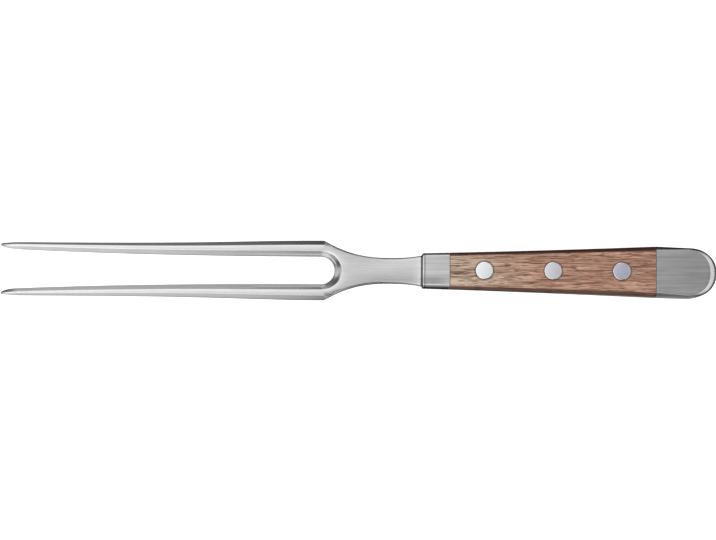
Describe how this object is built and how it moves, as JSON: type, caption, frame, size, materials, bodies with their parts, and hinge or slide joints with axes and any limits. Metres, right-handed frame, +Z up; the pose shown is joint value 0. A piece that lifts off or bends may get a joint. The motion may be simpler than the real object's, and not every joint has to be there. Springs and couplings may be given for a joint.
{
  "type": "meat fork",
  "caption": "Meat fork with a pair of long straight tines on a forged steel neck, bolster and pommel, and a riveted wooden grip.",
  "frame": {"origin": "centre of the bounding box in plan, at the level that the grip's underside rests on", "axes": "+X along the fork from the tine tips to the pommel, +Y across it, +Z up out of the grip's upper face"},
  "size_m": [0.3058, 0.0256, 0.015],
  "materials": {
    "steel": "brushed lengthways on the neck, bolster and pommel, smoother on the tines",
    "wood": "oiled walnut, grain lengthways, with open pores",
    "rivet": "satin"
  },
  "bodies": {
    "root": {"forged_fork": "steel", "upper_scale": "wood", "lower_scale": "wood", "front_rivet_pin": "rivet", "front_rivet_barrel": "rivet", "middle_rivet_pin": "rivet", "middle_rivet_barrel": "rivet", "rear_rivet_pin": "rivet", "rear_rivet_barrel": "rivet"}
  },
  "joints": []
}
